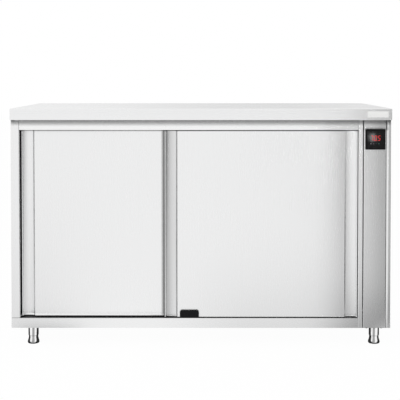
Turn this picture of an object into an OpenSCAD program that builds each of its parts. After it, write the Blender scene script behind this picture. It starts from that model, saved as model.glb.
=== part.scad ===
// Plate warmer cabinet: a stainless steel heated cupboard with a worktop, two hanging
// sliding doors, a fan heater in the service column on the right, and four screw feet.
// Millimetres. X runs left to right, the front faces -Y, and Z = 0 is the floor.

/* [Overall size] */
// Width over the worktop and the side panels
cabinet_w = 1400; // [1300:10:1800]
// Depth over the worktop
cabinet_d = 700; // [650:10:800]
// Height from the floor to the worktop
cabinet_h = 880; // [860:5:920]
// Clear height under the body, which the feet span
clear_h = 68; // [66:1:72]

/* [Worktop] */
// Height of the folded edge round the worktop
apron_h = 42; // [35:1:50]
// How far the worktop stands proud of the body's front
overhang = 20; // [15:1:30]
// How far the rear panel is set in from the worktop's rear edge
rear_inset = 24; // [20:1:30]
// Sheet of the worktop
worktop_sheet = 1.5; // [1.2:0.1:2]

/* [Body] */
// Sheet of the panels
sheet = 1; // [0.8:0.1:1.2]
// Width of the left stile
stile_w = 31; // [28:1:40]
// Width of the narrow stile between the doors and the service column
mid_stile_w = 17; // [14:1:20]
// Width from the door opening to the outside of the right panel
column_w = 120; // [115:1:140]
// Visible height of the rail over the doors
header_h = 38; // [36:1:45]
// Height of the rail under the doors
rail_h = 38; // [36:1:45]

/* [Doors] */
// Width of one door
door_w = 712; // [700:1:730]
// Thickness of a door
door_t = 16; // [15:0.5:17]
// Distance from one door's face to the other's
door_pitch = 20; // [19.5:0.5:22]
// Sheet of the door skins
door_sheet = 0.8; // [0.6:0.1:1]
// Depth of the finger grip at its edges
grip_depth = 8.5; // [6:0.5:9]
// Width of a finger grip, from the door's edge to the face
grip_w = 47.6; // [40:0.2:60]

/* [Hidden] */
$fn = 48;

steel = [0.83, 0.83, 0.82];
dull_steel = [0.66, 0.67, 0.67];
zinc = [0.60, 0.62, 0.64];
wool = [0.80, 0.74, 0.52];
black = [0.07, 0.07, 0.08];

// Outside of the body
body_x0 = -cabinet_w / 2;
body_x1 = cabinet_w / 2;
body_y0 = -cabinet_d / 2 + overhang;
body_y1 = cabinet_d / 2 - rear_inset;
body_z0 = clear_h;
body_z1 = cabinet_h - apron_h;
rail_z = body_z0 + rail_h;
header_z = body_z1 - header_h;

// Outer radius of the bends in the panels, and steps of one bend
bend_r = 2;
bend_steps = 6;

// Door opening, and the pocket behind it that the doors run in
open_x0 = body_x0 + stile_w;
open_x1 = body_x1 - column_w;
pocket_y1 = body_y0 + 47;
rail_x0 = body_x0 + bend_r;
trough_z = rail_z - 9;

// Inside of the heated cabinet
room_y1 = body_y1 - 35;
wool_gap = 1.5;

// Doors: faces, ends and the places of their hangers
door_z0 = rail_z + 2;
door_z1 = header_z + 6;
left_door_x = open_x0 + 4;
right_door_x = open_x1 - 2 - door_w;
front_door_y = body_y0 + 8;
rear_door_y = front_door_y + door_pitch;
door_travel = 525;
door_cap = 2.4;
hanger_inset = 90;

// Finger grip: the lip at the door's edge and the slopes of its two walls
lip_w = 3.6;
lip_slope = 1.2;
grip_slope = 5;
grip_sag = 2.8;
grip_steps = 12;

// Roller and rail: the rail's rib is centred on the door's thickness
roller_z = header_z + 24;
roller_tread_r = 8;
roller_rim_r = 10;
roller_w = 6;
axle_r = 2;
running_gap = 0.05;
rib_z = roller_z - roller_tread_r - 0.2;
rib_half_w = 1.2;
lip_z = header_z + 12;
track_top_z = body_z1 - sheet;
track_sheet = 2.4;

// Bottom guide between the doors, near the middle of the opening
guide_x = (open_x0 + open_x1) / 2 + 2;
guide_w = 70;
guide_z1 = rail_z + 27.5;
guide_r = 8;
guide_gap = 0.5;

// Shelf and its pegs, one row of holes every 50
shelf_z = rail_z + 347;
shelf_edge = 25;
peg_r = 6;
peg_hole_r = 3.5;
peg_rows = 7;
peg_pitch = 50;
peg_ys = [-210, 210];
peg_z = shelf_z - sheet - peg_r;
first_peg_z = peg_z - 3 * peg_pitch;

// Service column: the fascia and the folded edge of the right panel
fascia_x0 = open_x1 + mid_stile_w + 2.4;
fascia_x1 = body_x1 - 18.4;
edge_x = body_x1 - 10.5;
panel_return_x = body_x1 - 17.6;
display_x = (fascia_x0 + fascia_x1) / 2 + 1;
display_z = cabinet_h - 114;
display_w = 73;
display_h = 74.5;

// Fan heater on the column side of the partition
partition_x = open_x1 + sheet;
fan_z = 450;
fan_box_w = 210;
fan_box_x1 = partition_x + 69;
impeller_r = 70;
heater_ring_r = 88;
heater_tube_r = 4;
shaft_r = 4;
motor_x1 = fan_box_x1 + 40;

// Cable entry and earth stud in the rear panel, and the column's vents beside them
gland_x = body_x1 - 50;
gland_z = 150;
gland_bore_r = 5;
stud_x = body_x1 - 90;
stud_r = 3;
vent_z = 620;
vent_w = 84;
vent_h = 140;
louvre_rows = 5;
louvre_pitch = 24;

// Feet
foot_x0 = -627;
foot_x1 = 648;
foot_y = 280;
foot_split_z = 31;
tube_r = 19;
tube_wall = 1.2;
sleeve_r = 17.5;
stem_r = 6;
stem_top_z = clear_h + 18;

// ---------------------------------------------------------------- shapes

function unit(v) = v / norm(v);
function xy(p) = [p[0], p[1]];
function left_of(v) = [-v[1], v[0]];
function turned(v, a) = [v[0] * cos(a) - v[1] * sin(a), v[0] * sin(a) + v[1] * cos(a)];
function reversed(p) = [for (i = [len(p) - 1 : -1 : 0]) p[i]];

// Directions of the path p into and out of its point i
function way_in(p, i) = unit(xy(p[max(i, 1)]) - xy(p[max(i, 1) - 1]));
function way_out(p, i) = unit(xy(p[min(i, len(p) - 2) + 1]) - xy(p[min(i, len(p) - 2)]));

// The path of [x, y, radius] points set over by t to its left, with radii to match
function set_over(p, t) = [for (i = [0 : len(p) - 1])
    let (a = way_in(p, i), b = way_out(p, i), q = xy(p[i]) + t * (left_of(a) + left_of(b)) / (1 + a * b))
    [q[0], q[1], p[i][2] == 0 ? 0 : p[i][2] - sign(cross(a, b)) * t]];

// One corner of the path as an arc of its radius, or as a point where the radius is 0
function corner(p, i) =
    let (a = way_in(p, i), b = way_out(p, i), r = p[i][2], side = sign(cross(a, b)), half = acos(a * b) / 2)
    r == 0 ? [xy(p[i])] :
    let (centre = xy(p[i]) - a * r * tan(half) + left_of(a) * r * side)
    [for (k = [0 : bend_steps]) centre + turned(-left_of(a) * r * side, side * 2 * half * k / bend_steps)];
function rounded(p) = [for (i = [0 : len(p) - 1]) each corner(p, i)];

// Sheet of thickness t folded along the path, which is its right-hand face
module folded(path, t) {
    polygon(concat(rounded(path), reversed(rounded(set_over(path, t)))));
}

module along_x(x0, x1) {
    translate([x0, 0, 0]) rotate([90, 0, 90]) linear_extrude(x1 - x0) children();
}

module along_y(y0, y1) {
    translate([0, y1, 0]) rotate([90, 0, 0]) linear_extrude(y1 - y0) children();
}

module along_z(z0, z1) {
    translate([0, 0, z0]) linear_extrude(z1 - z0) children();
}

module block(lo, hi) {
    translate(lo) cube(hi - lo);
}

// Cylinders along X and Y, from one coordinate to the next
module rod_x(x0, x1, y, z, r) {
    translate([x0, y, z]) rotate([0, 90, 0]) cylinder(h = x1 - x0, r = r);
}

module rod_y(x, y0, y1, z, r) {
    translate([x, y1, z]) rotate([90, 0, 0]) cylinder(h = y1 - y0, r = r);
}

module rounded_rect(w, h, r) {
    square([w - 2 * r, h], center = true);
    square([w, h - 2 * r], center = true);
    for (x = [-1, 1], y = [-1, 1]) translate([x * (w / 2 - r), y * (h / 2 - r)]) circle(r);
}

// A rectangle from z0 to z1 whose two top corners are round
module rounded_top(w, z0, z1, r) {
    translate([-w / 2, z0]) square([w, z1 - z0 - r]);
    translate([-w / 2 + r, z0]) square([w - 2 * r, z1 - z0]);
    for (x = [-1, 1]) translate([x * (w / 2 - r), z1 - r]) circle(r);
}

module slot(length, width) {
    square([length - width, width], center = true);
    for (x = [-1, 1]) translate([x * (length - width) / 2, 0]) circle(width / 2);
}

// ---------------------------------------------------------------- worktop

module worktop_block(inset) {
    w = cabinet_w - 2 * inset;
    d = cabinet_d - 2 * inset;
    r = 2.5 - inset;
    z1 = cabinet_h - inset;
    intersection() {
        along_x(-w / 2, w / 2) rounded_top(d, body_z1 - inset, z1, r);
        along_y(-d / 2, d / 2) rounded_top(w, body_z1 - inset, z1, r);
        along_z(body_z1 - inset, z1) rounded_rect(w, d, r);
    }
}

module worktop() {
    lip = 15;
    color(steel) difference() {
        worktop_block(0);
        intersection() {
            worktop_block(worktop_sheet);
            union() {
                block([-cabinet_w, -cabinet_d, body_z1 + worktop_sheet], [cabinet_w, cabinet_d, cabinet_h]);
                block([lip - cabinet_w / 2, lip - cabinet_d / 2, body_z1 - 5],
                    [cabinet_w / 2 - lip, cabinet_d / 2 - lip, cabinet_h]);
            }
        }
    }
}

rib_xs = [-0.32, 0, 0.32] * cabinet_w;
rib_w = 60;
rib_sheet = 1.2;
rib_top_z = cabinet_h - worktop_sheet;
rib_y0 = body_y0 + 2;
rib_y1 = body_y1 - 4;

// Hat sections under the worktop, standing on the body's front and rear edges
module worktop_ribs() {
    foot = 15;
    foot_z = body_z1 + rib_sheet;
    hat = [
        [-rib_w / 2 - foot, foot_z, 0], [-rib_w / 2, foot_z, 2], [-rib_w / 2, rib_top_z, 3],
        [rib_w / 2, rib_top_z, 3], [rib_w / 2, foot_z, 2], [rib_w / 2 + foot, foot_z, 0],
    ];
    color(dull_steel) for (x = rib_xs)
        translate([x, 0, 0]) along_y(rib_y0, rib_y1) folded(set_over(hat, -rib_sheet), rib_sheet);
}

module worktop_insulation() {
    edges = concat([body_x0 + 20], [for (x = rib_xs) each [x - 47, x + 47]], [body_x1 - 20]);
    color(wool) for (i = [0 : 2 : len(edges) - 2])
        block([edges[i], rib_y0, body_z1 + 0.5], [edges[i + 1], rib_y1, rib_top_z - 1]);
}

// ---------------------------------------------------------------- body

// Space of the base panel, which the folds of the side panels stand on
module base_sheet() {
    block([body_x0 + sheet, body_y0 + sheet, body_z0], [body_x1 - sheet, body_y1 - sheet, body_z0 + sheet]);
}

// Left panel, whose stile stands on the end of the bottom rail
module left_side_panel() {
    path = [
        [body_x0, body_y1, 0], [body_x0, body_y0, bend_r],
        [open_x0, body_y0, bend_r], [open_x0, pocket_y1, 0],
    ];
    color(steel) difference() {
        along_z(body_z0, body_z1) folded(path, sheet);
        base_sheet();
        block([rail_x0, body_y0 - 1, body_z0 - 1], [open_x0 + 1, pocket_y1 + 1, rail_z]);
    }
}

module right_side_panel() {
    path = [
        [panel_return_x, body_y0 + 18, 0], [panel_return_x, body_y0 + 3.5, bend_r],
        [edge_x, body_y0, bend_r], [body_x1, body_y0, bend_r], [body_x1, body_y1, 0],
    ];
    color(steel) difference() {
        along_z(body_z0, body_z1) folded(path, sheet);
        base_sheet();
    }
}

module header_rail() {
    path = [
        [pocket_y1, body_z1, 0], [body_y0, body_z1, bend_r],
        [body_y0, header_z, bend_r], [body_y0 + 6, header_z, 0],
    ];
    color(steel) along_x(open_x0, open_x1) folded(path, sheet);
}

// Front rail with a hemmed top edge, a trough behind it under the doors, and a foot
module bottom_rail() {
    hem_r = 0.75;
    trough = [
        [body_y0 + sheet / 2, trough_z - sheet, 0], [pocket_y1, trough_z - sheet, bend_r],
        [pocket_y1, rail_z - sheet, 0],
    ];
    color(steel) along_x(rail_x0, open_x1) {
        translate([body_y0, body_z0]) square([sheet, rail_h - hem_r]);
        translate([body_y0, rail_z - 6]) square([2 * hem_r, 6 - hem_r]);
        translate([body_y0 + hem_r, rail_z - hem_r]) circle(hem_r);
        translate([body_y0, body_z0 + sheet]) square([15, sheet]);
        folded(trough, sheet);
    }
}

module foot_places() {
    for (x = [foot_x0, foot_x1], y = [-foot_y, foot_y]) translate([x, y, 0]) children();
}

fascia_screw_xs = [fascia_x0 + 14, fascia_x1 - 14];
fascia_screw_y = body_y0 + 7;

module base_panel() {
    vent_xs = [for (k = [-2 : 2]) display_x + k * 12];
    color(steel) difference() {
        base_sheet();
        foot_places() translate([0, 0, body_z0 - 1]) cylinder(h = 3, r = stem_r + 0.6);
        for (x = fascia_screw_xs) translate([x, fascia_screw_y, body_z0 - 1]) cylinder(h = 3, r = 2.1);
        for (x = vent_xs) translate([x, -60, 0]) along_z(body_z0 - 1, body_z0 + 2) rotate(90) slot(160, 5);
    }
}

// Screws of the rear panel: x and z of each
screw_xs = [body_x0 + 12, -0.25 * cabinet_w, 0, 0.25 * cabinet_w, body_x1 - 12];
screw_zs = [body_z0 + 14, body_z1 - 14];
side_screw_z = (body_z0 + body_z1) / 2;
back_screw_places = concat(
    [for (x = screw_xs, z = screw_zs) [x, z]],
    [for (x = [screw_xs[0], screw_xs[4]]) [x, side_screw_z]]
);

module back_panel() {
    y0 = body_y1 - sheet;
    color(steel) difference() {
        union() {
            block([body_x0 + sheet, y0, body_z0], [body_x1 - sheet, body_y1, body_z1]);
            block([body_x0 + sheet, y0 - 25, body_z1 - sheet], [body_x1 - sheet, body_y1, body_z1]);
        }
        block([gland_x - vent_w / 2 + 9, y0 - 1, vent_z - vent_h / 2 + 9],
            [gland_x + vent_w / 2 - 9, body_y1 + 1, vent_z + vent_h / 2 - 9]);
        rod_y(gland_x, y0 - 1, body_y1 + 1, gland_z, 10);
        rod_y(stud_x, y0 - 1, body_y1 + 1, gland_z, stud_r);
        for (p = back_screw_places) rod_y(p[0], y0 - 1, body_y1 + 1, p[1], 2.1);
    }
}

// Louvred plate over the column's vent: each hood shelters a slot and opens downwards
module vent_plate() {
    hood_w = vent_w - 22;
    hood = [[0.5, 0], [7, 2], [7, 3], [0.5, 15]];
    hollow = [[0.9, -1], [6.2, 0.8], [6.2, 2.4], [0.9, 12]];
    rows = [for (k = [0 : louvre_rows - 1]) vent_z + (k - (louvre_rows - 1) / 2) * louvre_pitch - 7];
    color(steel) difference() {
        union() {
            block([gland_x - vent_w / 2, body_y1, vent_z - vent_h / 2],
                [gland_x + vent_w / 2, body_y1 + sheet, vent_z + vent_h / 2]);
            for (z = rows) translate([0, body_y1, z])
                along_x(gland_x - hood_w / 2, gland_x + hood_w / 2) polygon(hood);
        }
        for (z = rows) translate([0, body_y1, z]) {
            along_x(gland_x - hood_w / 2 + 1, gland_x + hood_w / 2 - 1) polygon(hollow);
            along_x(gland_x - hood_w / 2 + 1, gland_x + hood_w / 2 - 1) translate([-1, 1]) square([3, 9]);
        }
    }
}

module cabinet_floor() {
    path = [[pocket_y1, trough_z, 0], [pocket_y1, rail_z, bend_r], [room_y1, rail_z, bend_r],
        [room_y1, trough_z, 0]];
    color(steel) along_x(open_x0, open_x1) folded(reversed(path), sheet);
}

module cabinet_ceiling() {
    path = [[pocket_y1, track_top_z, 0], [pocket_y1, header_z, bend_r], [room_y1, header_z, bend_r],
        [room_y1, header_z + 20, 0]];
    color(steel) along_x(open_x0, open_x1) folded(path, sheet);
}

// Both side walls of the cabinet have the same two columns of peg holes
module peg_holes(x0, x1) {
    for (y = peg_ys, k = [0 : peg_rows - 1]) rod_x(x0, x1, y, first_peg_z + k * peg_pitch, peg_hole_r);
}

module cabinet_left_wall() {
    color(steel) difference() {
        block([open_x0 - sheet, pocket_y1, body_z0 + sheet], [open_x0, room_y1 + sheet, track_top_z]);
        peg_holes(open_x0 - 2, open_x0 + 1);
    }
}

module cabinet_back_wall() {
    color(steel) block([open_x0, room_y1, trough_z], [open_x1, room_y1 + sheet, track_top_z]);
}

// Grille of the fan: slots over its inlet, and upright slots beside it for the hot air
module fan_grille() {
    inlet_r = 58;
    rows = 4;
    pitch = 13;
    for (k = [-rows : rows])
        translate([0, k * pitch]) slot(2 * sqrt(pow(inlet_r, 2) - pow(k * pitch, 2)) + 2, 6);
    for (y = [-96, -84, 84, 96]) translate([y, 0]) rotate(90) slot(150, 5);
}

// Right wall of the cabinet, folded at the front into the narrow stile
module column_partition() {
    path = [
        [open_x1, room_y1 + sheet, 0], [open_x1, body_y0, bend_r],
        [open_x1 + mid_stile_w, body_y0, bend_r], [open_x1 + mid_stile_w, body_y0 + 15, 0],
    ];
    color(steel) difference() {
        along_z(body_z0 + sheet, track_top_z) folded(path, sheet);
        peg_holes(open_x1 - 1, open_x1 + 2);
        translate([0, 0, fan_z]) along_x(open_x1 - 1, open_x1 + 2) fan_grille();
    }
}

module insulation_left() {
    color(wool) block([body_x0 + sheet + wool_gap, pocket_y1 + 1, body_z0 + 3],
        [open_x0 - sheet - wool_gap, room_y1, track_top_z - 1]);
}

module insulation_back() {
    color(wool) block([body_x0 + sheet + wool_gap, room_y1 + sheet + wool_gap, rail_z],
        [open_x1, body_y1 - sheet - 3, body_z1 - 3]);
}

module insulation_top() {
    color(wool) block([open_x0 + 1, pocket_y1 + 3, header_z + 3], [open_x1 - 1, room_y1 - 3, body_z1 - 3]);
}

module insulation_bottom() {
    color(wool) block([foot_x0 + 50, pocket_y1 + 3, body_z0 + 3], [open_x1 - 3, room_y1 - 3, rail_z - 3]);
}

// ---------------------------------------------------------------- doors and what they run on

// One rail of the track, round the middle y of its door
module track_rail(y) {
    web_y = y + 8;
    translate([web_y, lip_z]) square([1.5, track_top_z - lip_z - 2]);
    translate([y - 2.5, lip_z]) square([web_y - y + 2.5, 2]);
    translate([y - rib_half_w, lip_z]) square([2 * rib_half_w, rib_z - rib_half_w - lip_z]);
    translate([y, rib_z - rib_half_w]) circle(rib_half_w);
}

module top_track() {
    color("lightgray") along_x(open_x0 + 0.5, open_x1 - 0.5) {
        translate([body_y0 + 5, track_top_z - track_sheet]) square([pocket_y1 - body_y0 - 5.5, track_sheet]);
        for (y = [front_door_y, rear_door_y]) track_rail(y + door_t / 2);
    }
}

// Rubber stops that fill the track beyond the outermost place of each door's rollers
module track_buffers() {
    gap = 0.3;
    reach = roller_rim_r + gap;
    length = 10;
    ends = [
        [rear_door_y, left_door_x + hanger_inset - reach - length],
        [rear_door_y, left_door_x + door_w - hanger_inset + door_travel + reach],
        [front_door_y, right_door_x + hanger_inset - door_travel - reach - length],
        [front_door_y, right_door_x + door_w - hanger_inset + reach],
    ];
    color(black) for (e = ends) translate([e[1], e[0] + door_t / 2, rib_z])
        block([0, -4, 0], [length, 7.9, track_top_z - track_sheet - rib_z]);
}

module door_guide() {
    y0 = body_y0 + 1.6;
    y1 = pocket_y1 + bend_r - 0.2;
    color(black) difference() {
        translate([guide_x, 0, 0]) along_y(y0, y1) rounded_top(guide_w, trough_z, guide_z1, guide_r);
        for (y = [front_door_y, rear_door_y])
            block([guide_x - guide_w, y - guide_gap, rail_z + 1],
                [guide_x + guide_w, y + door_t + guide_gap, guide_z1 + 1]);
        block([guide_x - guide_w, pocket_y1 - sheet - 0.2, trough_z - 1],
            [guide_x + guide_w, y1 + 1, rail_z + 0.2]);
        block([guide_x - guide_w, pocket_y1 - sheet - bend_r, trough_z - 1],
            [guide_x + guide_w, y1 + 1, trough_z + bend_r]);
    }
}

// Path of a door's outer skin in plan, from one rear edge round the front to the other.
// Each grip is a steep lip, a shallow arched floor and a sloped wall up to the face.
function door_half(mirrored) =
    let (x0 = lip_w + lip_slope, x1 = grip_w - grip_slope, mid = (x0 + x1) / 2, half = (x1 - x0) / 2,
        floor_points = [for (k = [1 : grip_steps - 1]) let (s = 2 * k / grip_steps - 1)
            [mid + s * half, grip_depth + grip_sag * (1 - s * s), 0]],
        points = concat(
            [[0, door_t - door_sheet, 0], [0, 0, 1.1], [lip_w, 0, 1.1], [x0, grip_depth, 1]],
            floor_points,
            [[x1, grip_depth, 1.5], [grip_w, 0, 2]]))
    mirrored ? [for (p = reversed(points)) [door_w - p[0], p[1], p[2]]] : points;
door_path = concat(door_half(false), door_half(true));

module door_outer(x, y) {
    inside = set_over(door_path, door_sheet / 2);
    color(steel) translate([x, y, 0]) {
        along_z(door_z0, door_z1) folded(door_path, door_sheet);
        for (z = [door_z0, door_z1 - door_cap]) along_z(z, z + door_cap)
            polygon([for (p = inside) [p[0], min(p[1], door_t - door_sheet)]]);
    }
}

module door_inner(x, y) {
    color(dull_steel)
        block([x, y + door_t - door_sheet, door_z0], [x + door_w, y + door_t, door_z1]);
}

module door_core(x, y) {
    inside = set_over(door_path, door_sheet + 0.2);
    color(wool) translate([x, y, 0]) along_z(door_z0 + door_cap + 0.2, door_z1 - door_cap - 0.2)
        polygon([for (p = inside) [p[0], min(p[1], door_t - door_sheet - 0.2)]]);
}

function hanger_xs(x) = [x + hanger_inset, x + door_w - hanger_inset];

// Angle brackets on the door's top edge, which carry the axles beside the rail
module door_hangers(x, y) {
    mid_y = y + door_t / 2;
    color(zinc) for (hx = hanger_xs(x)) difference() {
        union() {
            block([hx - 30, mid_y - 7, door_z1], [hx + 30, mid_y + 7, door_z1 + 2]);
            block([hx - 15, mid_y - 7, door_z1], [hx + 15, mid_y - 5, roller_z + 7.5]);
        }
        rod_y(hx, mid_y - 8, mid_y - 4, roller_z, axle_r);
    }
}

module door_axles(x, y) {
    mid_y = y + door_t / 2;
    color(zinc) for (hx = hanger_xs(x)) {
        rod_y(hx, mid_y - 8.5, mid_y + 4.5, roller_z, axle_r);
        rod_y(hx, mid_y - 8.5, mid_y - 7, roller_z, 4);
        rod_y(hx, mid_y - 5, mid_y - roller_w / 2 - 0.1, roller_z, 3.2);
        rod_y(hx, mid_y + roller_w / 2 + 0.1, mid_y + 4.5, roller_z, 3.5);
    }
}

// Grooved nylon wheel that runs on the rail's rib
module door_roller(x, y) {
    bore = axle_r + running_gap;
    half = roller_w / 2;
    color("ivory") translate([x, y + door_t / 2, roller_z]) rotate([90, 0, 0]) rotate_extrude()
        polygon([
            [bore, -half], [roller_rim_r - 0.6, -half], [roller_rim_r, -half + 0.4], [roller_rim_r, -2.5],
            [roller_tread_r, -1.5], [roller_tread_r, 1.5], [roller_rim_r, 2.5],
            [roller_rim_r, half - 0.4], [roller_rim_r - 0.6, half], [bore, half],
        ]);
}

module left_door_outer() { door_outer(left_door_x, rear_door_y); }
module left_door_inner() { door_inner(left_door_x, rear_door_y); }
module left_door_core() { door_core(left_door_x, rear_door_y); }
module left_door_hangers() { door_hangers(left_door_x, rear_door_y); }
module left_door_axles() { door_axles(left_door_x, rear_door_y); }
module left_door_roller_a() { door_roller(hanger_xs(left_door_x)[0], rear_door_y); }
module left_door_roller_b() { door_roller(hanger_xs(left_door_x)[1], rear_door_y); }
module right_door_outer() { door_outer(right_door_x, front_door_y); }
module right_door_inner() { door_inner(right_door_x, front_door_y); }
module right_door_core() { door_core(right_door_x, front_door_y); }
module right_door_hangers() { door_hangers(right_door_x, front_door_y); }
module right_door_axles() { door_axles(right_door_x, front_door_y); }
module right_door_roller_a() { door_roller(hanger_xs(right_door_x)[0], front_door_y); }
module right_door_roller_b() { door_roller(hanger_xs(right_door_x)[1], front_door_y); }

// ---------------------------------------------------------------- shelf

// Loose shelf with its front and rear edges folded down and back
module mid_shelf() {
    y0 = pocket_y1 + 14;
    y1 = room_y1 - 8;
    path = [
        [y0 + 12, shelf_z - shelf_edge, 0], [y0, shelf_z - shelf_edge, bend_r], [y0, shelf_z, bend_r],
        [y1, shelf_z, bend_r], [y1, shelf_z - shelf_edge, bend_r], [y1 - 12, shelf_z - shelf_edge, 0],
    ];
    color(steel) along_x(open_x0 + 3, open_x1 - 3) folded(reversed(path), sheet);
}

module shelf_pegs() {
    plug = 2.4;
    length = 16;
    color(zinc) for (y = peg_ys) {
        rod_x(open_x0 - plug, open_x0, y, peg_z, peg_hole_r - 0.05);
        rod_x(open_x0, open_x0 + length, y, peg_z, peg_r);
        rod_x(open_x1, open_x1 + plug, y, peg_z, peg_hole_r - 0.05);
        rod_x(open_x1 - length, open_x1, y, peg_z, peg_r);
    }
}

// ---------------------------------------------------------------- service column

// Removable front of the column, with a foot that screws down to the base
module column_fascia() {
    depth = 15;
    z0 = body_z0 + sheet;
    path = [
        [fascia_x0, body_y0 + depth, 0], [fascia_x0, body_y0, bend_r],
        [fascia_x1, body_y0, bend_r], [fascia_x1, body_y0 + depth, 0],
    ];
    color(steel) difference() {
        union() {
            along_z(z0, body_z1 - 0.5) folded(path, sheet);
            block([fascia_x0 + 0.5, body_y0 + 0.5, z0], [fascia_x1 - 0.5, body_y0 + 14, z0 + sheet]);
        }
        block([display_x - 34, body_y0 - 1, display_z - 34], [display_x + 34, body_y0 + 2, display_z + 34]);
        for (x = fascia_screw_xs) translate([x, fascia_screw_y, z0 - 1]) cylinder(h = 3, r = 2);
    }
}

controller_x0 = display_x - 33.5;
controller_x1 = display_x + 33.5;

module controller_housing() {
    color(black) block([controller_x0, body_y0 - 0.5, display_z - 33.5],
        [controller_x1, body_y0 + 60, display_z + 33.5]);
}

module controller_bezel() {
    color(black) translate([display_x, 0, display_z]) difference() {
        along_y(body_y0 - 3.5, body_y0) rounded_rect(display_w, display_h, 3);
        along_y(body_y0 - 4, body_y0 - 0.5) rounded_rect(display_w - 12, display_h - 12, 2);
        along_y(body_y0 - 1, body_y0 + 1) square([67.2, 67.2], center = true);
    }
}

module controller_window() {
    color([0.02, 0.02, 0.02]) translate([display_x, 0, display_z])
        along_y(body_y0 - 2.9, body_y0 - 0.5) rounded_rect(display_w - 12.2, display_h - 12.2, 1.9);
}

module fan_box() {
    half = fan_box_w / 2;
    color(zinc) difference() {
        block([partition_x, -half, fan_z - half], [fan_box_x1, half, fan_z + half]);
        block([partition_x - 1, -half + sheet, fan_z - half + sheet],
            [fan_box_x1 - sheet, half - sheet, fan_z + half - sheet]);
        rod_x(fan_box_x1 - 3, fan_box_x1 + 1, 0, fan_z, 12);
        for (y = [-20, 20])
            translate([partition_x + 28, y, fan_z + half - 3]) cylinder(h = 6, r = heater_tube_r + 1);
    }
}

module fan_motor() {
    color(zinc) difference() {
        union() {
            rod_x(fan_box_x1 + 3, motor_x1, 0, fan_z, 33);
            rod_x(fan_box_x1, fan_box_x1 + 3, 0, fan_z, 42);
        }
        rod_x(fan_box_x1 - 1, motor_x1 - 6, 0, fan_z, shaft_r + running_gap);
    }
}

module fan_shaft() {
    color("silver") rod_x(partition_x + 12, motor_x1 - 8, 0, fan_z, shaft_r);
}

module fan_impeller() {
    x0 = partition_x + 10;
    width = 38;
    blades = 20;
    color(zinc) difference() {
        union() {
            rod_x(x0 + width - 1.5, x0 + width, 0, fan_z, impeller_r);
            rod_x(x0 + width - 16, x0 + width, 0, fan_z, 10);
            translate([x0, 0, fan_z]) rotate([0, 90, 0]) {
                linear_extrude(width - 1) for (k = [1 : blades])
                    rotate(k * 360 / blades) translate([impeller_r - 18, 0]) rotate(28) square([17, 1]);
                difference() {
                    cylinder(h = 2, r = impeller_r);
                    translate([0, 0, -1]) cylinder(h = 4, r = impeller_r - 20);
                }
            }
        }
        rod_x(x0 - 1, x0 + width + 1, 0, fan_z, shaft_r);
    }
}

// Tubular element: two rings round the impeller, joined, with its ends up through the box
module heater_element() {
    ring_xs = [partition_x + 20, partition_x + 36];
    mid_x = partition_x + 28;
    color([0.35, 0.33, 0.32]) {
        for (x = ring_xs) translate([x, 0, fan_z]) rotate([0, 90, 0])
            rotate_extrude() translate([heater_ring_r, 0]) circle(heater_tube_r);
        rod_x(ring_xs[0], ring_xs[1], 0, fan_z - heater_ring_r, heater_tube_r - 0.5);
        for (y = [-20, 20]) {
            translate([mid_x, y, fan_z + 80]) cylinder(h = 42, r = heater_tube_r - 0.5);
            rod_x(ring_xs[0], ring_xs[1], y, fan_z + 85, heater_tube_r - 0.5);
        }
    }
}

// Sensor tube in the cabinet, held off the partition by two clips
module temperature_probe() {
    x = open_x1 - 6;
    y = 150;
    z = 640;
    color("silver") {
        translate([x, y, z]) cylinder(h = 60, r = 2.5);
        for (k = [10, 45]) block([x - 1, y - 4, z + k], [open_x1, y + 4, z + k + 5]);
    }
}

// Capillary cut-out with its reset pin, on the column side of the partition
module safety_thermostat() {
    color([0.85, 0.83, 0.78]) {
        block([partition_x, -225, 300], [partition_x + 28, -185, 345]);
        rod_x(partition_x + 28, partition_x + 38, -205, 322, 6);
    }
}

terminal_y0 = 225;
terminal_poles = 5;

module terminal_block() {
    pitch = 12;
    y1 = terminal_y0 + terminal_poles * pitch;
    color([0.9, 0.9, 0.86]) difference() {
        block([partition_x, terminal_y0, 170], [partition_x + 30, y1, 192]);
        for (k = [0 : terminal_poles - 1], z = [176, 186])
            rod_x(partition_x + 20, partition_x + 31, terminal_y0 + (k + 0.5) * pitch, z, 3);
    }
}

// Runs of wire in the column, each a chain of straight lengths with round corners
module wire_run(points, r) {
    for (i = [0 : len(points) - 2]) {
        d = points[i + 1] - points[i];
        pitch = acos(d[2] / norm(d));
        translate(points[i]) rotate([0, pitch, atan2(d[1], d[0])]) cylinder(h = norm(d), r = r);
    }
    for (i = [1 : 1 : len(points) - 2]) translate(points[i]) sphere(r);
}

module wiring_loom() {
    x = partition_x + 40;
    rear_y = 245;
    top_z = 620;
    color([0.25, 0.25, 0.27]) {
        wire_run([[gland_x, body_y1 - 12, gland_z], [gland_x, 262, gland_z], [x - 25, 262, gland_z],
            [x - 25, 262, 170]], 3.5);
        wire_run([[x - 10, rear_y, 184], [x, rear_y, 184], [x, rear_y, top_z], [x, -250, top_z],
            [display_x, -250, top_z], [display_x, -250, display_z], [display_x, body_y0 + 60, display_z]], 3);
        wire_run([[x, rear_y, fan_z], [motor_x1 - 15, rear_y, fan_z], [motor_x1 - 15, 33, fan_z]], 2.5);
        for (y = [-20, 20])
            wire_run([[x, y, top_z], [partition_x + 28, y, top_z], [partition_x + 28, y, fan_z + 122]], 2);
        wire_run([[x, -205, top_z], [x, -205, 335], [partition_x + 28, -205, 335]], 2);
    }
}

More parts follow.
